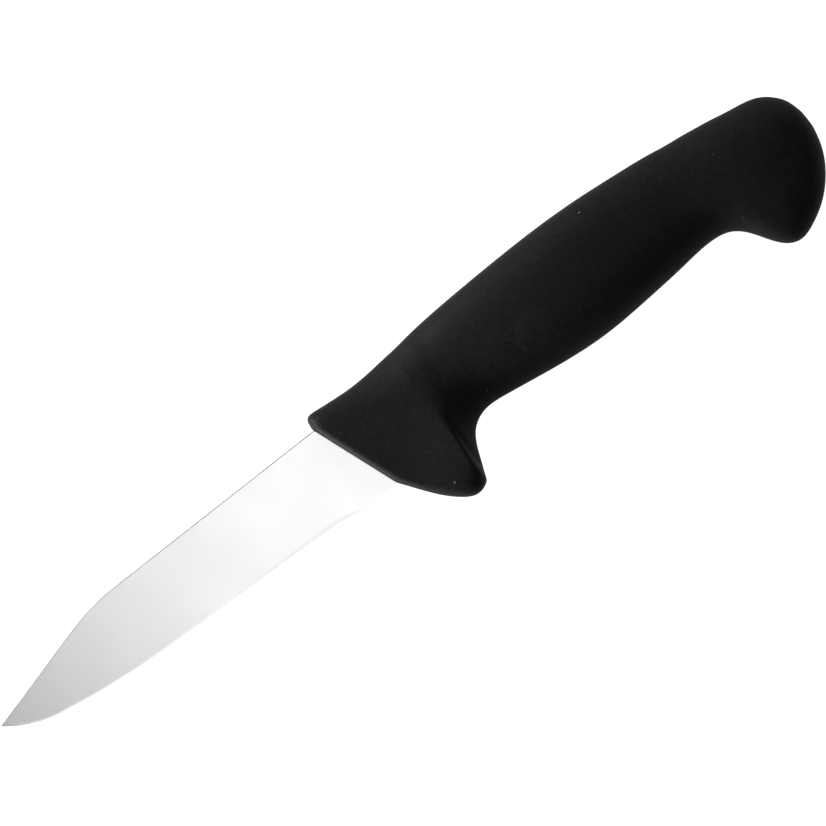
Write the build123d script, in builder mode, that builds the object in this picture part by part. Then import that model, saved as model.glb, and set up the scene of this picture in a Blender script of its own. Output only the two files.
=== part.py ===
from build123d import *
from math import cos, pi, radians, sin, tan
import os

os.makedirs("parts", exist_ok=True)

# A paring knife lying on its right side. A clip-pointed steel blade has a hidden tang,
# a hard handle core is moulded round the tang, and a soft skin is moulded over the core.
# +X runs along the back of the blade from the point to the butt, +Y from the edge to the back,
# +Z out of the knife's left side. The origin is on the middle plane of the blade,
# where its back leaves the handle.

# Blade: the outline
blade_reach = 87.4         # from the handle to the point, along the back
heel_height = 18.8         # from the back down to the unground heel
point_drop = 8.1           # from the line of the back down to the point
clip_length = 29.8         # along the back, from the point to where the straight clip starts
clip_rounding = 45.0       # radius that blends the back into the clip

# Blade: the edge, ground after blanking
grind_start = 8.6          # from the handle to where the stone has reached its full depth
grind_depth = 0.8          # height taken off the heel line there
edge_rise = 2.0            # degrees that the straight edge climbs towards the point
belly_length = 38.8        # along the back, from the point to where the edge starts to curve
belly_radius = 185.0       # first, shallow curve of the edge
belly_turn = 8.5           # degrees that it turns before the tighter curve to the point
runout_radius = 19.0       # radius of the stone where it leaves the heel
runout_turn = 26.0         # degrees of that arc, enough to pass below the heel
bevel_angle = 18.0         # degrees of the cutting bevel on each side
bevel_reach = 1.3          # height that the bevel grinder can reach, over any flank
edge_land = 0.04           # thickness left at the very edge

# Blade: the thicknesses
back_thickness = 1.6       # of the sheet, and of the back at the handle
heel_thickness = 0.56      # at the bottom of the heel
point_thickness = 0.5      # at the point, before the bevel
flank_run_in = 9.0         # the ground flanks end this far inside the handle
back_bevel = 0.18          # broken edge along the back
steepest_clip = 30.0       # degrees: the back and the clip lean less than this

# Blade: the tang
shoulder_start = 2.0       # full-height back inside the handle
shoulder_slope = 7.0       # length over which the back steps down to the tang
shoulder_dip = 3.4         # how far it steps down
heel_run_in = 14.0         # from the origin back to where the heel steps up to the tang
tang_length = 78.0         # from the handle's front to the end of the tang
tang_root_width = 11.6
tang_end_width = 8.4
tang_end_drop = 1.2        # the tang's top sinks this much more by its end
tang_corner = 3.0          # rounding of the tang's corners
tang_hole = 5.0            # bore of the two holes that the core's pegs fill
tang_hole_shares = (0.34, 0.78)    # places of the holes, as shares of the tang's length
tang_notch = 2.2           # radius of the two notches in the tang's edges
tang_notch_share = 0.56

# Handle: the front and the guard
front_rise = 3.08          # top of the handle over the line of the back, at the front
guard_length = 27.6        # from the front to where the finger cove begins
guard_drop = 30.9          # from the line of the back to the guard's tip
guard_width = 12.6         # before its side panels are flattened
panel_half = 5.45          # from the middle plane to the guard's flat side panel, at the origin
panel_flare = 2.7          # degrees that the panel spreads towards the butt
panel_lean = 0.9           # degrees that the panel draws in towards the underside

# Handle: the body
body_length = 61.4         # from the finger cove to the hook
back_rise = 4.58           # top of the handle over the line of the back, at the swell
belly_drop = 21.4          # from the line of the back to the swell's underside
swell_width = 16.6

# Handle: the hook and the butt
butt_length = 30.3         # from the end of the body to the last point of the butt
hook_drop = 30.7           # from the line of the back to the hook's tip
butt_width = 14.8

# Handle: the core and its skin
skin = 3.0                 # thickness of the soft skin over the core's top and underside
core_thickness = 5.6       # of the slab of hard plastic that holds the tang
core_bevel = 1.5           # broken edges of that slab
pad_diameter = 9.5         # round pad of the core that comes through the skin on each side
pad_back = 48.8            # from the origin back to the middle of the pad
pad_drop = 12.3            # from the line of the back down to the middle of the pad

overrun = 4.0              # how far cutters pass the faces that they cut

# Each section of the handle stands on a chord from its top to its underside.
# A row gives, as shares: top x, top y, underside x, underside y, width at the middle of the chord,
# then how much wider the top is than the underside, and the squareness of the top and underside,
# where 2 is an ellipse and more is boxier.

# x as shares of guard_length, y of front_rise at the top and of guard_drop at the underside,
# width of guard_width
guard_shares = [
    (0.012, 0.13, 0.266, 0.615, 0.78, 0.02, 3.8, 4.0),
    (0.020, 0.64, 0.291, 0.646, 0.90, 0.02, 3.8, 4.0),
    (0.083, 0.99, 0.344, 0.712, 0.98, 0.03, 3.8, 4.2),
    (0.167, 0.92, 0.391, 0.770, 1.02, 0.04, 3.5, 4.4),
    (0.290, 0.81, 0.450, 0.838, 1.04, 0.06, 3.1, 4.6),
    (0.453, 0.73, 0.565, 0.942, 1.05, 0.08, 2.7, 4.6),
    (0.634, 0.80, 0.690, 1.000, 1.06, 0.09, 2.5, 4.6),
    (0.735, 0.88, 0.760, 0.988, 1.07, 0.10, 2.4, 4.4),
    (0.790, 0.92, 0.800, 0.963, 1.07, 0.11, 2.4, 3.7),
    (0.836, 0.95, 0.822, 0.918, 1.02, 0.17, 2.4, 2.4),
    (0.900, 1.01, 0.850, 0.857, 0.98, 0.21, 2.4, 2.0),
    (0.978, 1.10, 0.891, 0.767, 0.95, 0.23, 2.4, 1.85),
]

# x as shares of body_length, y of back_rise and belly_drop, width of swell_width
body_shares = [
    (0.033, 0.80, -0.016, 0.953, 0.72, 0.22, 2.3, 1.85),
    (0.096, 0.86, 0.042, 0.858, 0.75, 0.20, 2.4, 1.9),
    (0.186, 0.92, 0.137, 0.864, 0.82, 0.16, 2.5, 2.0),
    (0.340, 0.98, 0.319, 0.946, 0.93, 0.11, 2.6, 2.15),
    (0.530, 1.00, 0.520, 1.000, 0.99, 0.08, 2.6, 2.25),
    (0.720, 0.89, 0.710, 0.980, 0.97, 0.06, 2.6, 2.3),
    (0.880, 0.68, 0.870, 0.944, 0.91, 0.05, 2.5, 2.3),
    (1.000, 0.48, 0.990, 0.922, 0.87, 0.04, 2.4, 2.3),
]

# x as shares of butt_length, y of hook_drop for both, width of butt_width
butt_shares = [
    (0.130, 0.050, 0.110, -0.668, 0.985, 0.02, 2.3, 2.3),
    (0.250, 0.035, 0.205, -0.742, 1.000, 0.06, 2.3, 2.6),
    (0.360, 0.018, 0.290, -0.865, 1.010, 0.10, 2.4, 3.0),
    (0.470, 0.000, 0.375, -0.965, 1.010, 0.14, 2.4, 3.4),
    (0.570, -0.020, 0.460, -1.000, 1.000, 0.14, 2.4, 3.6),
    (0.680, -0.039, 0.595, -0.965, 0.970, 0.12, 2.4, 3.4),
    (0.785, -0.064, 0.735, -0.885, 0.900, 0.08, 2.4, 3.0),
    (0.870, -0.110, 0.855, -0.770, 0.780, 0.05, 2.3, 2.6),
    (0.930, -0.168, 0.927, -0.665, 0.620, 0.03, 2.2, 2.3),
    (0.972, -0.240, 0.971, -0.560, 0.420, 0.00, 2.1, 2.1),
    (0.994, -0.320, 0.994, -0.470, 0.210, 0.00, 2.0, 2.0),
]

section_points = 16        # points round each section


def handle_sections():
    """Each section as its top point, its underside point, its width, lean and squarenesses."""
    rows = []
    for top_x, top_y, low_x, low_y, width, *shape in guard_shares:
        top = Vector(top_x * guard_length, top_y * front_rise)
        low = Vector(low_x * guard_length, -low_y * guard_drop)
        rows.append((top, low, width * guard_width, *shape))
    for top_x, top_y, low_x, low_y, width, *shape in body_shares:
        top = Vector(guard_length + top_x * body_length, top_y * back_rise)
        low = Vector(guard_length + low_x * body_length, -low_y * belly_drop)
        rows.append((top, low, width * swell_width, *shape))
    for top_x, top_y, low_x, low_y, width, *shape in butt_shares:
        start = guard_length + body_length
        top = Vector(start + top_x * butt_length, top_y * hook_drop)
        low = Vector(start + low_x * butt_length, low_y * hook_drop)
        rows.append((top, low, width * butt_width, *shape))
    return rows


def section_plane(top, low):
    """The plane of a section: its x along the chord to the top, its y along +Z."""
    up = (top - low).normalized()
    return Plane(origin=(top + low) / 2, x_dir=up, z_dir=(up.Y, -up.X, 0))


def section_outline(top, low, width, lean, top_square, low_square):
    """Points round a section: a superellipse whose halves have their own squareness."""
    half_chord = (top - low).length / 2
    half_width = width / 2
    points = []
    for step in range(section_points):
        turn = 2 * pi * step / section_points
        power = 2 / (top_square if cos(turn) > 0 else low_square)
        along = abs(cos(turn)) ** power * (1 if cos(turn) > 0 else -1)
        across = abs(sin(turn)) ** power * (1 if sin(turn) > 0 else -1)
        points.append((along * half_chord, across * half_width * (1 + lean * along)))
    return points


# The blade: blanked with its tang, its flanks ground flat and thinner to the edge and the point,
# then the edge ground to its curve and bevelled on both sides.
half_back = back_thickness / 2
stone_length = blade_reach + flank_run_in + overrun
stone_width = 2 * (heel_height + overrun)
thinning_down = (back_thickness - heel_thickness) / 2 / heel_height
point_half = half_back - thinning_down * point_drop
thinning_forward = (point_half - point_thickness / 2) / (blade_reach - grind_start)

point = Vector(-blade_reach, -point_drop)
clip_corner = (clip_length - blade_reach, 0)
tang_top = -shoulder_dip
tang_end_top = tang_top - tang_end_drop
tang_end_low = tang_end_top - tang_end_width
tang_root_low = tang_top - tang_root_width


def tang_middle(share):
    """The point of the tang's middle line at a share of the tang's length."""
    root = (tang_top + tang_root_low) / 2
    end = (tang_end_top + tang_end_low) / 2
    return (share * tang_length, root + (end - root) * share)


def tang_edge(share, side):
    """A point of the tang's top or lower edge, side 1 or -1, at a share of the tang's length."""
    across, middle = tang_middle(share)
    width = tang_root_width + (tang_end_width - tang_root_width) * share
    return (across, middle + side * width / 2)


edge_way = Vector(-cos(radians(edge_rise)), sin(radians(edge_rise)))
edge_start = Vector(-grind_start, grind_depth - heel_height)
straight_reach = blade_reach - belly_length - grind_start
edge_end = edge_start + edge_way * (straight_reach / cos(radians(edge_rise)))

with BuildLine() as edge_line:
    runout = JernArc(edge_start, edge_way * -1, runout_radius, -runout_turn)
    Line(edge_start, edge_end)
    belly = JernArc(edge_end, edge_way, belly_radius, -belly_turn)
    tip = TangentArc(belly @ 1, point, tangent=belly % 1)
    Line(point, point + (tip % 1) * overrun)
edge_path = edge_line.wire()
past_heel = runout @ 1
past_point = point + (tip % 1) * overrun
below_heel = -heel_height - overrun

with BuildPart() as blade:
    with BuildSketch(Plane.XY.offset(-half_back)):
        with BuildLine():
            Polyline(
                (-blade_reach, -heel_height),
                (point.X, point.Y),
                clip_corner,
                (shoulder_start, 0),
                (shoulder_start + shoulder_slope, tang_top),
                (tang_length, tang_end_top),
                (tang_length, tang_end_low),
                (heel_run_in, tang_root_low),
                (heel_run_in, -heel_height),
                close=True,
            )
        make_face()
        with Locations(*[tang_middle(share) for share in tang_hole_shares]):
            Circle(tang_hole / 2, mode=Mode.SUBTRACT)
        with Locations(*[tang_edge(tang_notch_share, side) for side in (1, -1)]):
            Circle(tang_notch, mode=Mode.SUBTRACT)
    extrude(amount=back_thickness)
    uprights = blade.edges().filter_by(Axis.Z).filter_by(GeomType.LINE)
    fillet(uprights.sort_by_distance(clip_corner)[0], clip_rounding)
    for corner in (
        (shoulder_start + shoulder_slope, tang_top),
        (tang_length, tang_end_top),
        (tang_length, tang_end_low),
        (heel_run_in, tang_root_low),
        (heel_run_in, -heel_height),
    ):
        uprights = blade.edges().filter_by(Axis.Z).filter_by(GeomType.LINE)
        fillet(uprights.sort_by_distance(corner)[0], tang_corner)
    for side in (1, -1):
        with BuildSketch(Plane((0, 0, side * half_back), (1, 0, 0), (0, -thinning_down, side))):
            with Locations((flank_run_in, 0)):
                Rectangle(stone_length, stone_width, align=(Align.MAX, Align.CENTER))
        extrude(amount=back_thickness, mode=Mode.SUBTRACT)
        taper_plane = Plane(
            (-grind_start, 0, side * half_back),
            (1, 0, side * thinning_forward),
            (-thinning_forward, -thinning_down, side),
        )
        with BuildSketch(taper_plane):
            Rectangle(stone_length, stone_width, align=(Align.MAX, Align.CENTER))
        extrude(amount=back_thickness, mode=Mode.SUBTRACT)
    back_faces = blade.faces().filter_by(
        lambda face: face.normal_at().Y > cos(radians(steepest_clip)) and face.center().X < shoulder_start
    )
    chamfer(back_faces.edges().filter_by(Axis.Z, reverse=True), back_bevel)
    with BuildSketch(Plane.XY.offset(-back_thickness)):
        with BuildLine():
            add(edge_line.line)
            Polyline(past_point, (past_point.X, below_heel), (past_heel.X, below_heel), past_heel)
        make_face()
    extrude(amount=2 * back_thickness, mode=Mode.SUBTRACT)
    for side in (1, -1):
        start_way = edge_path % 0
        inward = Vector(start_way.Y, -start_way.X)
        if inward.Y < 0:
            inward = inward * -1
        with BuildSketch(Plane(edge_path @ 0, inward, start_way)) as bevel:
            up = side * bevel.workplanes[0].y_dir.Z
            land = up * edge_land / 2
            climb = up * tan(radians(bevel_angle))
            with BuildLine():
                Polyline(
                    (-edge_land, land - climb * edge_land),
                    (bevel_reach, land + climb * bevel_reach),
                    (bevel_reach, up * back_thickness),
                    (-edge_land, up * back_thickness),
                    close=True,
                )
            make_face()
        sweep(path=edge_path, mode=Mode.SUBTRACT)
blade.part.label = "blade"

# The handle's outer form, from which the core and the skin are made,
# with a flat panel on each side of the guard.
panel_length = guard_length + overrun
panel_height = 2 * (guard_drop + overrun)

with BuildPart() as handle_form:
    for top, low, *shape in handle_sections():
        with BuildSketch(section_plane(top, low)):
            with BuildLine():
                Spline(*section_outline(top, low, *shape), periodic=True)
            make_face()
    loft()
    for side in (1, -1):
        panel_plane = Plane(
            (0, 0, side * panel_half),
            (1, 0, side * tan(radians(panel_flare))),
            (-tan(radians(panel_flare)), -tan(radians(panel_lean)), side),
        )
        with BuildSketch(panel_plane):
            with Locations((guard_length, 0)):
                Rectangle(panel_length, panel_height, align=(Align.MAX, Align.CENTER))
        extrude(amount=guard_width, mode=Mode.SUBTRACT)

# The core: a slab that follows the handle's outline inside the skin and holds the tang,
# from the third section at the front to the fourth from the end, with a pad on each side
# that comes out flush with the skin. Its plastic fills the tang's holes.
core_tops = []
core_lows = []
for top, low, *shape in handle_sections()[2:-3]:
    inwards = (low - top).normalized() * skin
    core_tops.append(top + inwards)
    core_lows.append(low - inwards)

with BuildPart() as core_slab:
    with BuildSketch(Plane.XY.offset(-core_thickness / 2)):
        with BuildLine():
            Spline(*core_tops)
            Spline(*core_lows)
            Line(core_tops[0], core_lows[0])
            Line(core_tops[-1], core_lows[-1])
        make_face()
    extrude(amount=core_thickness)
    chamfer(core_slab.faces().filter_by(Axis.Z).edges(), core_bevel)

with BuildPart() as pad_bar:
    with BuildSketch(Plane.XY.offset(-swell_width)):
        with Locations((pad_back, -pad_drop)):
            Circle(pad_diameter / 2)
    extrude(amount=2 * swell_width)

with BuildPart() as handle_core:
    add(core_slab.part)
    add(pad_bar.part)
    add(handle_form.part, mode=Mode.INTERSECT)
    add(blade.part, mode=Mode.SUBTRACT)
handle_core.part.label = "handle_core"

# The grip: the soft skin, all of the handle's form that the core, its pads and the blade leave.
with BuildPart() as grip:
    add(handle_form.part)
    add(core_slab.part, mode=Mode.SUBTRACT)
    add(pad_bar.part, mode=Mode.SUBTRACT)
    add(blade.part, mode=Mode.SUBTRACT)
grip.part.label = "grip"

for piece in (blade, handle_core, grip):
    export_step(piece.part, f"parts/{piece.part.label}.step")
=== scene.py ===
from math import cos, radians, sin, tan

import bmesh
import bpy
import numpy as np
from mathutils import Matrix, Vector


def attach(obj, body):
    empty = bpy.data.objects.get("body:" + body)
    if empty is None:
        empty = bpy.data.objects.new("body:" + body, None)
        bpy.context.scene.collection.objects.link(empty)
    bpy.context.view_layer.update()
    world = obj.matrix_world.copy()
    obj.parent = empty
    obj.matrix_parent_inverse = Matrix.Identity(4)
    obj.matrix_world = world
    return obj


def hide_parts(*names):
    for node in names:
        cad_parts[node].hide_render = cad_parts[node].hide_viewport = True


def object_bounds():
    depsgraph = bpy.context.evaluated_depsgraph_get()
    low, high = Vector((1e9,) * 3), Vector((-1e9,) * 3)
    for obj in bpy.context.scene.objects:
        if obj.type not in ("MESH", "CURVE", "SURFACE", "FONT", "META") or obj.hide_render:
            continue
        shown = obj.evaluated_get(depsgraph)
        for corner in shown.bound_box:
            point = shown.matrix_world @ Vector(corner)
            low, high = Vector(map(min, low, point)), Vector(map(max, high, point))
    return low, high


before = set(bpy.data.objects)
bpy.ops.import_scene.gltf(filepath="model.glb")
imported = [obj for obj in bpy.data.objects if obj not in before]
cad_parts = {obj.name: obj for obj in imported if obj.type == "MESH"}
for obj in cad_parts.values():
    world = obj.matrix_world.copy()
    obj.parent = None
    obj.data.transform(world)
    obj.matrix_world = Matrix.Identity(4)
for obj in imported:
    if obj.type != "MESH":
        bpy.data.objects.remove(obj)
cad_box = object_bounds()
KNIFE = "root"
MM = 0.001

# The camera: the knife lies on its right side and is seen from straight above through a long
# lens, with its point towards the lower left of a square picture.
PICTURE_WIDTH = 168.9 * MM
PICTURE_MIDDLE = Vector((18.65, -9.69, 0)) * MM
KNIFE_TURN = radians(38.1)
LENS_MM = 250
SENSOR_MM = 36

picture_right = Vector((cos(KNIFE_TURN), -sin(KNIFE_TURN), 0))
picture_up = Vector((sin(KNIFE_TURN), cos(KNIFE_TURN), 0))
upwards = Vector((0, 0, 1))
camera_height = PICTURE_WIDTH * LENS_MM / SENSOR_MM

camera = bpy.data.objects.new("camera", bpy.data.cameras.new("camera"))
bpy.context.scene.collection.objects.link(camera)
bpy.context.scene.camera = camera
camera.data.lens = LENS_MM
camera.data.sensor_width = SENSOR_MM
camera.data.clip_start = camera_height * 0.02
camera.data.clip_end = camera_height * 20
camera_turn = Matrix((picture_right, picture_up, upwards)).transposed().to_4x4()
camera.matrix_world = Matrix.Translation(PICTURE_MIDDLE + upwards * camera_height) @ camera_turn
bpy.context.scene.view_settings.view_transform = "Standard"


# The lamps: softboxes round the knife. The overhead one is mirrored in the blade's flank, the edge
# and tip ones in its ground edge. The key at the upper left models the handle, the front one the
# edge of its guard, and flags keep these two off the blade. The last three fill in.
WHITE, COOL, WARM = (1, 1, 1), (0.90, 1.0, 0.97), (1.0, 0.95, 0.88)

blade_only = bpy.data.collections.new("blade_only")
all_but_blade = bpy.data.collections.new("all_but_blade")
for lit_set in (blade_only, all_but_blade):
    lit_set.objects.link(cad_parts["blade"])
all_but_blade.collection_objects[0].light_linking.link_state = "EXCLUDE"


def softbox(name, stands, away, size, brightness, tint, aside=0, spread=180, lit=None):
    """A rectangular lamp that stands away metres from the knife, at an azimuth from +X and an
    elevation in degrees, faces it with its width level, and is then moved aside along +X. Its
    power is its brightness times pi times its area. It lights the lit collection, or all."""
    azimuth, elevation = (radians(angle) for angle in stands)
    width, height = size
    lamp = bpy.data.lights.new(name, "AREA")
    lamp.shape = "RECTANGLE"
    lamp.size = width
    lamp.size_y = height
    lamp.energy = brightness * np.pi * width * height
    lamp.color = tint
    lamp.spread = radians(spread)
    level = cos(elevation)
    back = Vector((level * cos(azimuth), level * sin(azimuth), sin(elevation)))
    across = upwards.cross(back).normalized()
    facing = Matrix((across, back.cross(across), back)).transposed().to_4x4()
    place = PICTURE_MIDDLE + back * away + Vector((aside, 0, 0))
    lamp_object = bpy.data.objects.new(name, lamp)
    bpy.context.scene.collection.objects.link(lamp_object)
    lamp_object.matrix_world = Matrix.Translation(place) @ facing
    lamp_object.visible_camera = False
    lamp_object.light_linking.receiver_collection = lit


softbox(
    "overhead_softbox", stands=(219, 85.5), away=0.70, size=(0.20, 0.20), brightness=2.72,
    tint=WHITE, aside=0.003)
softbox(
    "key_softbox", stands=(133, 17.0), away=0.45, size=(0.36, 0.24), brightness=1.45,
    tint=COOL, aside=-0.06, spread=40, lit=all_but_blade)
softbox(
    "left_softbox", stands=(135, 25.0), away=1.00, size=(0.80, 0.50), brightness=0.45,
    tint=WHITE, lit=blade_only)
softbox(
    "front_softbox", stands=(189, 6.5), away=0.12, size=(0.08, 0.02), brightness=36.0,
    tint=WHITE, lit=all_but_blade)
softbox(
    "edge_softbox", stands=(262, 53.6), away=0.70, size=(0.34, 0.14), brightness=2.45,
    tint=WHITE, lit=blade_only)
softbox(
    "tip_softbox", stands=(226, 52.0), away=0.70, size=(0.16, 0.14), brightness=2.60,
    tint=WHITE, lit=blade_only)
softbox(
    "back_softbox", stands=(45, 22.0), away=1.00, size=(0.80, 0.50), brightness=1.20, tint=WARM)
softbox(
    "near_softbox", stands=(225, 20.0), away=1.00, size=(0.80, 0.40), brightness=0.25, tint=WARM)
softbox(
    "right_softbox", stands=(315, 22.0), away=1.00, size=(0.80, 0.50), brightness=0.18, tint=WARM)

# The room: a white wall where the camera sees past the table, and a dim warm glow on the knife.
WALL_BRIGHTNESS = 0.9
ROOM_GLOW, ROOM_BRIGHTNESS = (1.0, 0.92, 0.80, 1), 0.04

world = bpy.data.worlds.new("studio")
bpy.context.scene.world = world
world.use_nodes = True
room = world.node_tree
room_light = room.nodes["Background"]
room_light.inputs["Color"].default_value = ROOM_GLOW
room_light.inputs["Strength"].default_value = ROOM_BRIGHTNESS
room_wall = room.nodes.new("ShaderNodeBackground")
room_wall.inputs["Color"].default_value = (1, 1, 1, 1)
room_wall.inputs["Strength"].default_value = WALL_BRIGHTNESS
seen = room.nodes.new("ShaderNodeLightPath")
room_mix = room.nodes.new("ShaderNodeMixShader")
room.links.new(seen.outputs["Is Camera Ray"], room_mix.inputs[0])
room.links.new(room_light.outputs["Background"], room_mix.inputs[1])
room.links.new(room_wall.outputs["Background"], room_mix.inputs[2])
room.links.new(room_mix.outputs[0], room.nodes["World Output"].inputs["Surface"])

# The table: lit white from inside, so that the picture has no shadow. The knife gets only a part
# of its glow, and of the lamps' light off it.
TABLE_WIDTH = 4.0
TABLE_GREY, TABLE_ROUGHNESS = (0.4, 0.4, 0.4, 1), 0.9
GLOW_SEEN, GLOW_GIVEN = 1.00, 0.35

table_corners = np.array([(-1, -1), (1, -1), (1, 1), (-1, 1)]) * TABLE_WIDTH / 2
table_mesh = bpy.data.meshes.new("table")
table_mesh.from_pydata([(x, y, cad_box[0].z) for x, y in table_corners], [], [(0, 1, 2, 3)])
table = bpy.data.objects.new("table", table_mesh)
bpy.context.scene.collection.objects.link(table)
table_white = bpy.data.materials.new("table_white")
table_white.use_nodes = True
table_shader = table_white.node_tree.nodes["Principled BSDF"]
table_shader.inputs["Base Color"].default_value = TABLE_GREY
table_shader.inputs["Roughness"].default_value = TABLE_ROUGHNESS
table_shader.inputs["Emission Color"].default_value = (1, 1, 1, 1)
table_nodes, table_links = table_white.node_tree.nodes, table_white.node_tree.links
table_glow = table_nodes.new("ShaderNodeMapRange")
table_glow.inputs["To Min"].default_value = GLOW_GIVEN
table_glow.inputs["To Max"].default_value = GLOW_SEEN
table_seen = table_nodes.new("ShaderNodeLightPath")
table_links.new(table_seen.outputs["Is Camera Ray"], table_glow.inputs["Value"])
table_links.new(table_glow.outputs["Result"], table_shader.inputs["Emission Strength"])
table_mesh.materials.append(table_white)

# The blade: blanked with its tang from 1.6 mm stainless sheet, ground to a fine satin with lines
# that run from the back to the edge, then sharpened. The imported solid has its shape.
SATIN_LINE = (0.08 * MM, 9.0 * MM, 0.8 * MM)
SATIN_DEPTH = 0.0015 * MM
GRINDING_CLOUD = 14.0 * MM
STEEL_GREYS = ((0.705, 0.71, 0.715, 1), (0.725, 0.73, 0.735, 1))
STEEL_ROUGHNESS = (0.282, 0.298)
CLOUD_LOW, CLOUD_HIGH = 0.35, 0.65    # the part of the slow noise that the colours run over
LINT_SPACING = 4.4 * MM
LINT_RADIUS = 0.18 * MM
LINT_WHITE = (0.60, 0.60, 0.58, 1)
LINT_RARITY = 4.0    # power of the random number, which leaves few specks bright


def worked_surface_group():
    """Node group of a worked surface, in object coordinates: its height is noise with the grain
    size along each axis, and its clouds are slow noise with one size."""
    group = bpy.data.node_groups.new("worked_surface", "ShaderNodeTree")
    for name, kind in (("Grain Size", "NodeSocketVector"), ("Cloud Size", "NodeSocketFloat")):
        group.interface.new_socket(name, in_out="INPUT", socket_type=kind)
    for name in ("Height", "Clouds"):
        group.interface.new_socket(name, in_out="OUTPUT", socket_type="NodeSocketFloat")
    nodes, links = group.nodes, group.links
    given, made = nodes.new("NodeGroupInput"), nodes.new("NodeGroupOutput")
    place = nodes.new("ShaderNodeTexCoord")
    for size, out, detail in (("Grain Size", "Height", 2.0), ("Cloud Size", "Clouds", 4.0)):
        counted, noise = nodes.new("ShaderNodeVectorMath"), nodes.new("ShaderNodeTexNoise")
        counted.operation = "DIVIDE"
        noise.inputs["Scale"].default_value = 1.0
        noise.inputs["Detail"].default_value = detail
        links.new(place.outputs["Object"], counted.inputs[0])
        links.new(given.outputs[size], counted.inputs[1])
        links.new(counted.outputs[0], noise.inputs["Vector"])
        links.new(noise.outputs["Fac"], made.inputs[out])
    return group


def lint_group():
    """Node group of dust: a speck lies where the surface passes within a radius of points that
    are scattered in space, and its whiteness is a high power of a random number."""
    group = bpy.data.node_groups.new("lint", "ShaderNodeTree")
    for name in ("Spacing", "Radius"):
        group.interface.new_socket(name, in_out="INPUT", socket_type="NodeSocketFloat")
    group.interface.new_socket("Specks", in_out="OUTPUT", socket_type="NodeSocketFloat")
    nodes, links = group.nodes, group.links
    given, made = nodes.new("NodeGroupInput"), nodes.new("NodeGroupOutput")
    place, counted = nodes.new("ShaderNodeTexCoord"), nodes.new("ShaderNodeVectorMath")
    points, random = nodes.new("ShaderNodeTexVoronoi"), nodes.new("ShaderNodeSeparateColor")
    reach, inside = nodes.new("ShaderNodeMath"), nodes.new("ShaderNodeMath")
    white, speck = nodes.new("ShaderNodeMath"), nodes.new("ShaderNodeMath")
    counted.operation = reach.operation = "DIVIDE"
    points.inputs["Scale"].default_value = 1.0
    inside.operation = "LESS_THAN"
    white.operation, speck.operation = "POWER", "MULTIPLY"
    white.inputs[1].default_value = LINT_RARITY
    links.new(place.outputs["Object"], counted.inputs[0])
    links.new(given.outputs["Spacing"], counted.inputs[1])
    links.new(counted.outputs[0], points.inputs["Vector"])
    links.new(given.outputs["Radius"], reach.inputs[0])
    links.new(given.outputs["Spacing"], reach.inputs[1])
    links.new(points.outputs["Distance"], inside.inputs[0])
    links.new(reach.outputs[0], inside.inputs[1])
    links.new(points.outputs["Color"], random.inputs[0])
    links.new(random.outputs["Red"], white.inputs[0])
    links.new(white.outputs[0], speck.inputs[0])
    links.new(inside.outputs[0], speck.inputs[1])
    links.new(speck.outputs[0], made.inputs["Specks"])
    return group


worked_surface = worked_surface_group()
lint = lint_group()


def finish_material(name, grain_size, grain_depth, cloud_size, colours, roughness):
    """A material whose colour and roughness run between two values with the clouds of the worked
    surface, whose grain stands grain_depth high, and which has lint on it."""
    material = bpy.data.materials.new(name)
    material.use_nodes = True
    nodes, links = material.node_tree.nodes, material.node_tree.links
    shader = nodes["Principled BSDF"]
    surface, dust = nodes.new("ShaderNodeGroup"), nodes.new("ShaderNodeGroup")
    surface.node_tree, dust.node_tree = worked_surface, lint
    surface.inputs["Grain Size"].default_value = grain_size
    surface.inputs["Cloud Size"].default_value = cloud_size
    dust.inputs["Spacing"].default_value = LINT_SPACING
    dust.inputs["Radius"].default_value = LINT_RADIUS
    spread, rough = nodes.new("ShaderNodeMapRange"), nodes.new("ShaderNodeMapRange")
    for clouds in (spread, rough):
        clouds.inputs["From Min"].default_value = CLOUD_LOW
        clouds.inputs["From Max"].default_value = CLOUD_HIGH
    rough.inputs["To Min"].default_value, rough.inputs["To Max"].default_value = roughness
    clouded, dusted = nodes.new("ShaderNodeMixRGB"), nodes.new("ShaderNodeMixRGB")
    clouded.inputs["Color1"].default_value, clouded.inputs["Color2"].default_value = colours
    dusted.inputs["Color2"].default_value = LINT_WHITE
    bump = nodes.new("ShaderNodeBump")
    bump.inputs["Distance"].default_value = grain_depth
    links.new(surface.outputs["Clouds"], spread.inputs["Value"])
    links.new(surface.outputs["Clouds"], rough.inputs["Value"])
    links.new(spread.outputs["Result"], clouded.inputs["Fac"])
    links.new(clouded.outputs["Color"], dusted.inputs["Color1"])
    links.new(dust.outputs["Specks"], dusted.inputs["Fac"])
    links.new(dusted.outputs["Color"], shader.inputs["Base Color"])
    links.new(rough.outputs["Result"], shader.inputs["Roughness"])
    links.new(surface.outputs["Height"], bump.inputs["Height"])
    links.new(bump.outputs["Normal"], shader.inputs["Normal"])
    return material


satin_steel = finish_material(
    "satin_steel", SATIN_LINE, SATIN_DEPTH, GRINDING_CLOUD, STEEL_GREYS, STEEL_ROUGHNESS)
satin_steel.node_tree.nodes["Principled BSDF"].inputs["Metallic"].default_value = 1

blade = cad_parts["blade"]
blade.data.materials.clear()
blade.data.materials.append(satin_steel)

# The core: hard black plastic moulded round the tang, in one piece with the two round pads that
# come out through the skin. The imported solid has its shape.
CORE_GRAIN = (0.10 * MM, 0.10 * MM, 0.10 * MM)
CORE_GRAIN_DEPTH, CORE_CLOUD = 0.004 * MM, 1.6 * MM
CORE_BLACKS = ((0.0050, 0.0047, 0.0042, 1), (0.0106, 0.0100, 0.0090, 1))
CORE_ROUGHNESS, CORE_SHINE = (0.57, 0.65), 0.25

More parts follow.
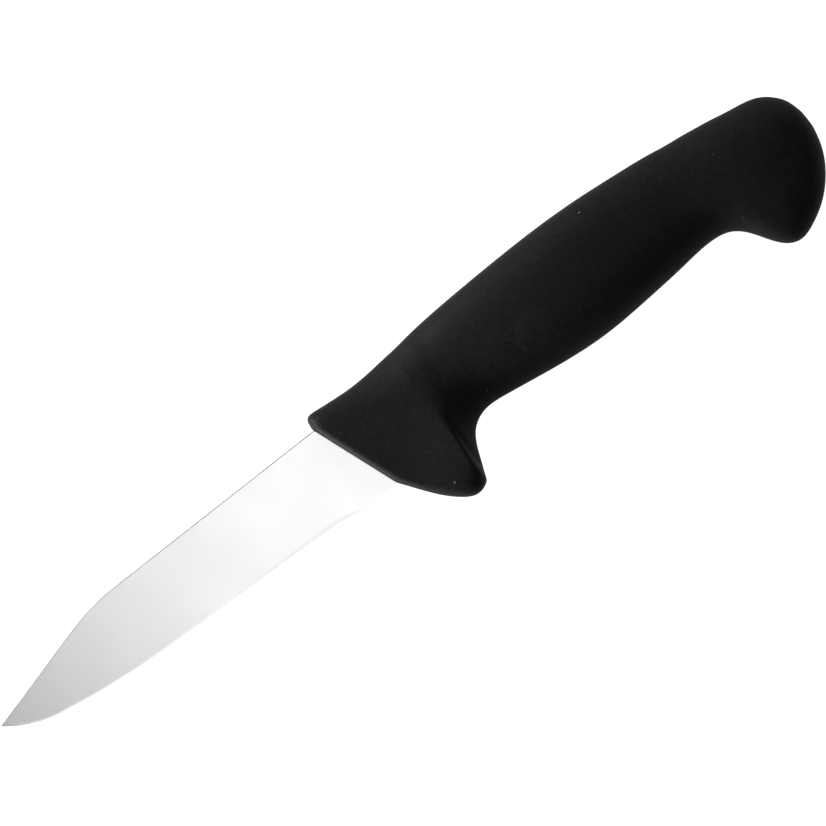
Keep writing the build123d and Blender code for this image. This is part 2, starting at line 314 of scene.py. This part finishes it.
hard_plastic = finish_material(
    "hard_black_plastic", CORE_GRAIN, CORE_GRAIN_DEPTH, CORE_CLOUD, CORE_BLACKS, CORE_ROUGHNESS)
plastic_shader = hard_plastic.node_tree.nodes["Principled BSDF"]
plastic_shader.inputs["Specular IOR Level"].default_value = CORE_SHINE
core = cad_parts["handle_core"]
core.data.materials.clear()
core.data.materials.append(hard_plastic)

# The grip: a soft black skin injected over the core in a closed mould, with a fine spark texture,
# a slightly hollow panel on each side of the guard, and a rounded edge all along its front.
GUARD_LENGTH, BODY_LENGTH, BUTT_LENGTH = 27.6 * MM, 61.4 * MM, 30.3 * MM
FRONT_RISE, BACK_RISE = 3.08 * MM, 4.58 * MM
GUARD_DROP, BELLY_DROP, HOOK_DROP = 30.9 * MM, 21.4 * MM, 30.7 * MM
GUARD_WIDTH, SWELL_WIDTH, BUTT_WIDTH = 12.6 * MM, 16.6 * MM, 14.8 * MM
PANEL_HALF = 5.45 * MM
PANEL_FLARE, PANEL_LEAN = tan(radians(2.7)), tan(radians(0.9))
CREST_BAND = 0.5 * MM    # difference in height over which the panel rounds into the sides
DISH_MIDDLE = (12.5 * MM, -15.5 * MM)   # of the shallow hollow in each panel
DISH_DEPTH, DISH_RADIUS = 0.42 * MM, 5.5 * MM
FRONT_TOP, FRONT_LOW = (0.33 * MM, 0.40 * MM), (7.34 * MM, -19.0 * MM)
FRONT_ROUNDING = 1.5 * MM
ROUND_STEPS = 184
STATIONS = ((1, 14), (11, 200), (8, 110), (11, 110))    # rows spanned, rings made over them
SKIN_GRAIN = (0.16 * MM, 0.16 * MM, 0.16 * MM)
SKIN_GRAIN_DEPTH, SKIN_CLOUD = 0.02 * MM, 0.9 * MM
SKIN_BLACKS = ((0.0040, 0.0037, 0.0033, 1), (0.0102, 0.0096, 0.0086, 1))
SKIN_ROUGHNESS, SKIN_SHINE = (0.57, 0.66), 0.22
CAP_SHARES = np.array([0.985, 0.96, 0.90, 0.6, 0.25])   # how wide the rings that close an end are

# Each row: top x and y, underside x and y, width at the middle, how much wider the top is than
# the underside, and the squareness of the top and of the underside, where 2 is an ellipse.
guard_shares = np.array([
    (0.012, 0.13, 0.266, 0.615, 0.78, 0.02, 3.8, 4.0),
    (0.020, 0.64, 0.291, 0.646, 0.90, 0.02, 3.8, 4.0),
    (0.083, 0.99, 0.344, 0.712, 0.98, 0.03, 3.8, 4.2),
    (0.167, 0.92, 0.391, 0.770, 1.02, 0.04, 3.5, 4.4),
    (0.290, 0.81, 0.450, 0.838, 1.04, 0.06, 3.1, 4.6),
    (0.453, 0.73, 0.565, 0.942, 1.05, 0.08, 2.7, 4.6),
    (0.634, 0.80, 0.690, 1.000, 1.06, 0.09, 2.5, 4.6),
    (0.735, 0.88, 0.760, 0.988, 1.07, 0.10, 2.4, 4.4),
    (0.790, 0.92, 0.800, 0.963, 1.07, 0.11, 2.4, 3.7),
    (0.836, 0.95, 0.822, 0.918, 1.02, 0.17, 2.4, 2.4),
    (0.900, 1.01, 0.850, 0.857, 0.98, 0.21, 2.4, 2.0),
    (0.978, 1.10, 0.891, 0.767, 0.95, 0.23, 2.4, 1.85),
])
body_shares = np.array([
    (0.033, 0.80, -0.016, 0.953, 0.72, 0.22, 2.3, 1.85),
    (0.096, 0.86, 0.042, 0.858, 0.75, 0.20, 2.4, 1.9),
    (0.186, 0.92, 0.137, 0.864, 0.82, 0.16, 2.5, 2.0),
    (0.340, 0.98, 0.319, 0.946, 0.93, 0.11, 2.6, 2.15),
    (0.530, 1.00, 0.520, 1.000, 0.99, 0.08, 2.6, 2.25),
    (0.720, 0.89, 0.710, 0.980, 0.97, 0.06, 2.6, 2.3),
    (0.880, 0.68, 0.870, 0.944, 0.91, 0.05, 2.5, 2.3),
    (1.000, 0.48, 0.990, 0.922, 0.87, 0.04, 2.4, 2.3),
])
butt_shares = np.array([
    (0.130, 0.050, 0.110, -0.668, 0.985, 0.02, 2.3, 2.3),
    (0.250, 0.035, 0.205, -0.742, 1.000, 0.06, 2.3, 2.6),
    (0.360, 0.018, 0.290, -0.865, 1.010, 0.10, 2.4, 3.0),
    (0.470, 0.000, 0.375, -0.965, 1.010, 0.14, 2.4, 3.4),
    (0.570, -0.020, 0.460, -1.000, 1.000, 0.14, 2.4, 3.6),
    (0.680, -0.039, 0.595, -0.965, 0.970, 0.12, 2.4, 3.4),
    (0.785, -0.064, 0.735, -0.885, 0.900, 0.08, 2.4, 3.0),
    (0.870, -0.110, 0.855, -0.770, 0.780, 0.05, 2.3, 2.6),
    (0.930, -0.168, 0.927, -0.665, 0.620, 0.03, 2.2, 2.3),
    (0.972, -0.240, 0.971, -0.560, 0.420, 0.00, 2.1, 2.1),
    (0.994, -0.320, 0.994, -0.470, 0.210, 0.00, 2.0, 2.0),
])


def handle_rows():
    """All rows in metres, from the front of the guard to the end of the butt."""
    unit = (1, 1, 1)
    guard = guard_shares * (
        GUARD_LENGTH, FRONT_RISE, GUARD_LENGTH, -GUARD_DROP, GUARD_WIDTH, *unit)
    body = body_shares * (
        BODY_LENGTH, BACK_RISE, BODY_LENGTH, -BELLY_DROP, SWELL_WIDTH, *unit)
    butt = butt_shares * (
        BUTT_LENGTH, HOOK_DROP, BUTT_LENGTH, HOOK_DROP, BUTT_WIDTH, *unit)
    body[:, [0, 2]] += GUARD_LENGTH
    butt[:, [0, 2]] += GUARD_LENGTH + BODY_LENGTH
    return np.vstack([guard, body, butt])


def fair_rows(rows, places, wanted):
    """Natural cubic spline through the rows at their places, read at the wanted places. Its bends
    solve the condition that the slope runs on smoothly at every row, and are none at the ends."""
    step = np.diff(places)
    slope = np.diff(rows, axis=0) / step[:, None]
    inner = np.arange(1, len(places) - 1)
    system = np.eye(len(places))
    system[inner, inner - 1] = step[:-1]
    system[inner, inner] = 2 * (step[:-1] + step[1:])
    system[inner, inner + 1] = step[1:]
    change = np.zeros_like(rows)
    change[inner] = 6 * (slope[1:] - slope[:-1])
    bend = np.linalg.solve(system, change)
    span = np.clip(np.searchsorted(places, wanted) - 1, 0, len(places) - 2)
    wide = step[span][:, None]
    behind = (wanted - places[span])[:, None] / wide
    ahead = 1 - behind
    return (
        rows[span] * ahead + rows[span + 1] * behind
        + wide**2 / 6 * (bend[span] * (ahead**3 - ahead) + bend[span + 1] * (behind**3 - behind))
    )


def skin_rings(rows, turns):
    """One closed ring of the skin for each row. A ring is a superellipse on the chord from the
    underside to the top, cos**power along it and sin**power across, its width growing along the
    chord by the lean. In the guard the height is kept under a sloping panel, less a hollow that
    is a bell curve, and less a quarter round along the front edge. Where the two heights are
    within the crest's band, the lower one loses the square of what is left of the band, over
    four times the band."""
    top, low = rows[:, None, 0:2], rows[:, None, 2:4]
    upper = np.cos(turns)[None, :] > 0
    power = 2 / np.where(upper, rows[:, None, 6], rows[:, None, 7])
    along = np.abs(np.cos(turns)) ** power * np.where(upper, 1, -1)
    across = np.abs(np.sin(turns)) ** power
    flat = (top + low) / 2 + (top - low) / 2 * along[:, :, None]
    height = rows[:, None, 4] / 2 * across * (1 + rows[:, None, 5] * along)
    x, y = flat[:, :, 0], flat[:, :, 1]
    off_middle = (x - DISH_MIDDLE[0])**2 + (y - DISH_MIDDLE[1])**2
    front_way = Vector(FRONT_LOW) - Vector(FRONT_TOP)
    behind = (FRONT_TOP[0] - x) * front_way.y - (FRONT_TOP[1] - y) * front_way.x
    behind = np.clip(1 - behind / front_way.length / FRONT_ROUNDING, 0, 1)
    panel = PANEL_HALF + PANEL_FLARE * x + PANEL_LEAN * y
    panel -= DISH_DEPTH * np.exp(-off_middle / (2 * DISH_RADIUS**2))
    panel -= FRONT_ROUNDING * (1 - np.sqrt(1 - behind**2))
    near_crest = np.clip(CREST_BAND - abs(height - panel), 0, None)
    rounded = np.minimum(height, panel) - near_crest**2 / (4 * CREST_BAND)
    height = np.where(x < GUARD_LENGTH, rounded, height) * np.sign(np.sin(turns))
    return np.concatenate([flat, height[:, :, None]], axis=2)


def closed_shell(rings):
    """Points and faces of a closed shell: quads between neighbouring rings, and a fan at each end
    to the middle of its ring."""
    count, steps = rings.shape[:2]
    ring, step = np.meshgrid(np.arange(count - 1), np.arange(steps), indexing="ij")
    near, beside = ring * steps + step, ring * steps + (step + 1) % steps
    quads = np.stack([near, near + steps, beside + steps, beside], axis=2).reshape(-1, 4)
    first, last = np.arange(steps), np.arange(steps) + (count - 1) * steps
    poles = np.full(steps, count * steps)
    front = np.stack([poles, first, np.roll(first, -1)], axis=1)
    back = np.stack([poles + 1, np.roll(last, -1), last], axis=1)
    points = np.vstack([rings.reshape(-1, 3), rings[0].mean(axis=0), rings[-1].mean(axis=0)])
    return points, quads.tolist() + front.tolist() + back.tolist()


def moulded_piece(name, rings, material):
    """A smooth closed shell with its place in its mesh and its faces outwards, on the knife."""
    points, faces = closed_shell(rings)
    mesh = bpy.data.meshes.new(name)
    mesh.from_pydata(points.tolist(), [], faces)
    outwards = bmesh.new()
    outwards.from_mesh(mesh)
    bmesh.ops.recalc_face_normals(outwards, faces=outwards.faces)
    outwards.to_mesh(mesh)
    outwards.free()
    mesh.polygons.foreach_set("use_smooth", np.ones(len(mesh.polygons), bool))
    mesh.materials.append(material)
    piece = bpy.data.objects.new(name, mesh)
    bpy.context.scene.collection.objects.link(piece)
    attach(piece, KNIFE)
    return piece


rows = handle_rows()
middles = (rows[:, 0:2] + rows[:, 2:4]) / 2
reach = np.linalg.norm(np.diff(middles, axis=0), axis=1)
reach += np.linalg.norm(np.diff(rows[:, 2:4], axis=0), axis=1)
places = np.r_[0, np.cumsum(reach)]
ends = np.cumsum([0] + [spanned for spanned, _ in STATIONS])
stations = np.concatenate([
    np.linspace(places[start], places[min(end, len(rows) - 1)], count, endpoint=False)
    for start, end, (_, count) in zip(ends[:-1], ends[1:], STATIONS)
] + [places[-1:]])
turns = np.linspace(0, 2 * np.pi, ROUND_STEPS, endpoint=False)
skin_surface = skin_rings(fair_rows(rows, places, stations), turns)

front_middle, back_middle = skin_surface[0].mean(axis=0), skin_surface[-1].mean(axis=0)
shares = CAP_SHARES[:, None, None]
front_cap = front_middle + (skin_surface[0] - front_middle) * shares[::-1]
back_cap = back_middle + (skin_surface[-1] - back_middle) * shares
skin_shell = np.concatenate([front_cap, skin_surface, back_cap])

soft_skin = finish_material(
    "soft_black_skin", SKIN_GRAIN, SKIN_GRAIN_DEPTH, SKIN_CLOUD, SKIN_BLACKS, SKIN_ROUGHNESS)
skin_shader = soft_skin.node_tree.nodes["Principled BSDF"]
skin_shader.inputs["Specular IOR Level"].default_value = SKIN_SHINE
grip = moulded_piece("soft_grip", skin_shell, soft_skin)
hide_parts("grip")

# The pads: the round ends of the core, one on each side, that held it in the mould of the skin.
# Each stands a hair proud of the skin with a rounded rim, and follows the skin's swell.
PAD_RADIUS = 4.75 * MM
PAD_BACK, PAD_DROP = 48.8 * MM, 12.3 * MM
PAD_PROUD = 0.022 * MM
PAD_ROUND_STEPS = 96
PAD_FIT_REACH = 1.3 * PAD_RADIUS

# The rings of a pad from its middle out and down its side: their radii, and how far they sink.
pad_radii = np.array([0.2, 0.4, 0.6, 0.8, 0.9, 0.95, 0.975, 0.99, 1.0, 1.0, 0.5]) * PAD_RADIUS
pad_sinks = np.array([0, 0, 0, 0, 0.002, 0.008, 0.016, 0.026, 0.05, 0.6, 0.6]) * MM


def pad_rings(side):
    """Rings of a pad: circles round its middle in x and y, whose height is the skin's, fitted with
    a polynomial of the third degree in x and y, plus what the pad is proud, less its sink."""
    offset = skin_surface.reshape(-1, 3) - (PAD_BACK, -PAD_DROP, 0)
    close = np.hypot(offset[:, 0], offset[:, 1]) < PAD_FIT_REACH
    around = offset[close & (offset[:, 2] > 0)]
    powers = [(i, j) for i in range(4) for j in range(4 - i)]
    terms = np.stack([around[:, 0]**i * around[:, 1]**j for i, j in powers], axis=1)
    fit = np.linalg.lstsq(terms, around[:, 2], rcond=None)[0]
    circle = np.linspace(0, 2 * np.pi, PAD_ROUND_STEPS, endpoint=False)
    x = pad_radii[:, None] * np.cos(circle)
    y = pad_radii[:, None] * np.sin(circle)
    skin_height = sum(share * x**i * y**j for share, (i, j) in zip(fit, powers))
    height = skin_height + PAD_PROUD - pad_sinks[:, None]
    return np.stack([x + PAD_BACK, y - PAD_DROP, side * height], axis=2)


for name, side in (("left_pad", 1), ("right_pad", -1)):
    moulded_piece(name, pad_rings(side), hard_plastic)
